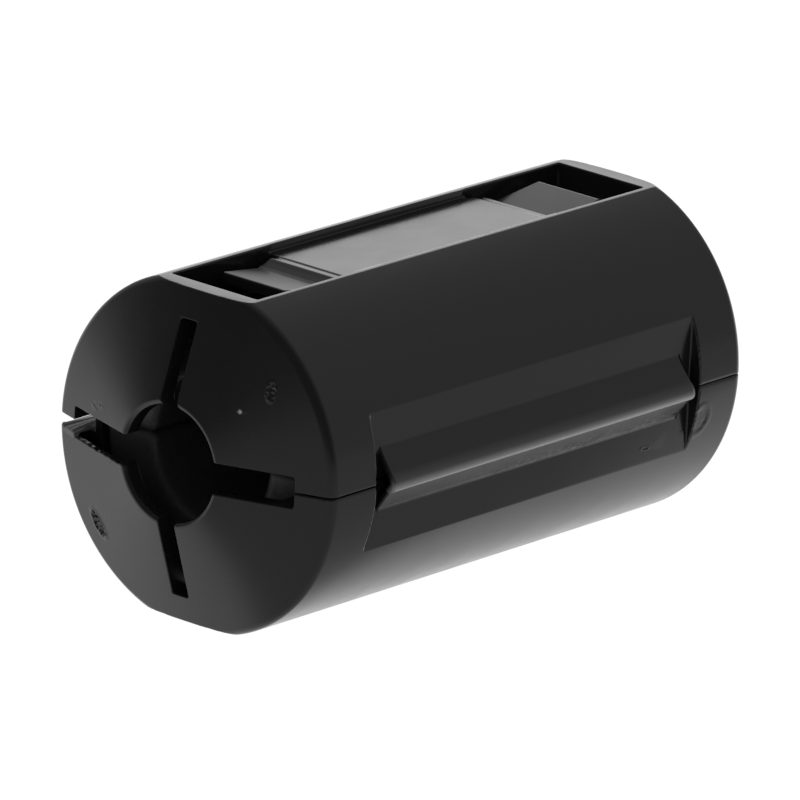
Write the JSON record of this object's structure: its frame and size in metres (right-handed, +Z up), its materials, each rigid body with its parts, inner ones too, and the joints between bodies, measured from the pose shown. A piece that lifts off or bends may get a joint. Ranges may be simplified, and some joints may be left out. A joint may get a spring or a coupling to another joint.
{
  "type": "clip-on ferrite bead",
  "caption": "Round clip-on ferrite bead: a hinged moulded case with slotted cone ends that grip a cable, holding two ferrite half cores that damp its interference.",
  "frame": {"origin": "centre of the cable hole, on the plane where the two halves meet", "axes": "+Y along the cable, +X towards the living hinge, +Z up through the upper half"},
  "size_m": [0.0207, 0.0384, 0.0188],
  "materials": {
    "case": "satin moulded black nylon",
    "ferrite": "fired and ground ferrite"
  },
  "bodies": {
    "lower_half": {"lower_case": "case", "lower_core": "ferrite"},
    "upper_half": {"upper_case": "case", "upper_core": "ferrite"}
  },
  "joints": [
    {"name": "case_hinge", "type": "hinge", "parent": "lower_half", "child": "upper_half", "pos_m": [0.01045, 0, 0], "axis": [0, 1, 0], "range_deg": [0, 180]}
  ]
}
